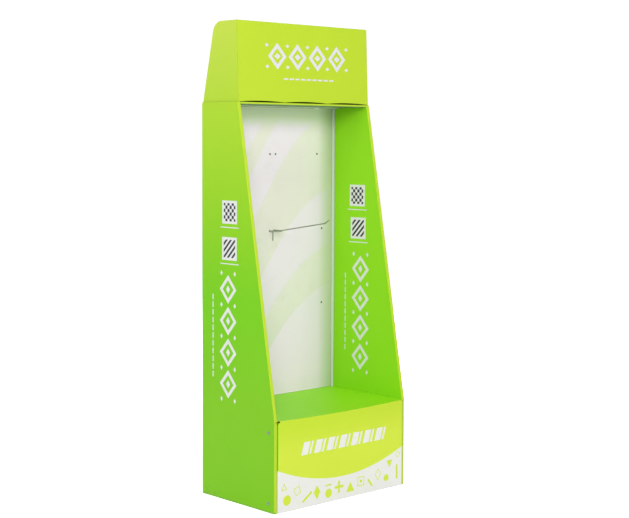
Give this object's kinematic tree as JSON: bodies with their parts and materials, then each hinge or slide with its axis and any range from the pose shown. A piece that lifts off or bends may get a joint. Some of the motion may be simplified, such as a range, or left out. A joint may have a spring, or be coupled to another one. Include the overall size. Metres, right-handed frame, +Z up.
{
  "type": "cardboard display stand",
  "caption": "Free-standing floor display folded from printed board, with slanted sides, a deck over a closed base, a tall header and a wire hook.",
  "frame": {"origin": "middle of the footprint, on the floor", "axes": "+Z up; the front looks along -Y; +X is to the right of someone who faces the stand"},
  "size_m": [0.6028, 0.375, 1.585],
  "materials": {
    "green_board": "printed, satin",
    "front_board": "printed, satin",
    "white_board": "printed white, satin",
    "kraft_board": "plain, unprinted",
    "steel_wire": "zinc plated, dull",
    "post_metal": "dull",
    "white_plastic": "moulded"
  },
  "bodies": {
    "root": {"side_panel_left": "green_board", "side_panel_right": "green_board", "back_panel": "green_board", "header": "green_board", "ceiling_panel": "green_board", "base_cover": "front_board", "back_liner": "white_board", "rib_left": "kraft_board", "rib_right": "kraft_board", "rib_cross": "kraft_board", "wire_hook": "steel_wire", "post_sleeves": "post_metal", "post_screws": "post_metal", "snap_rivets": "white_plastic"}
  },
  "joints": []
}
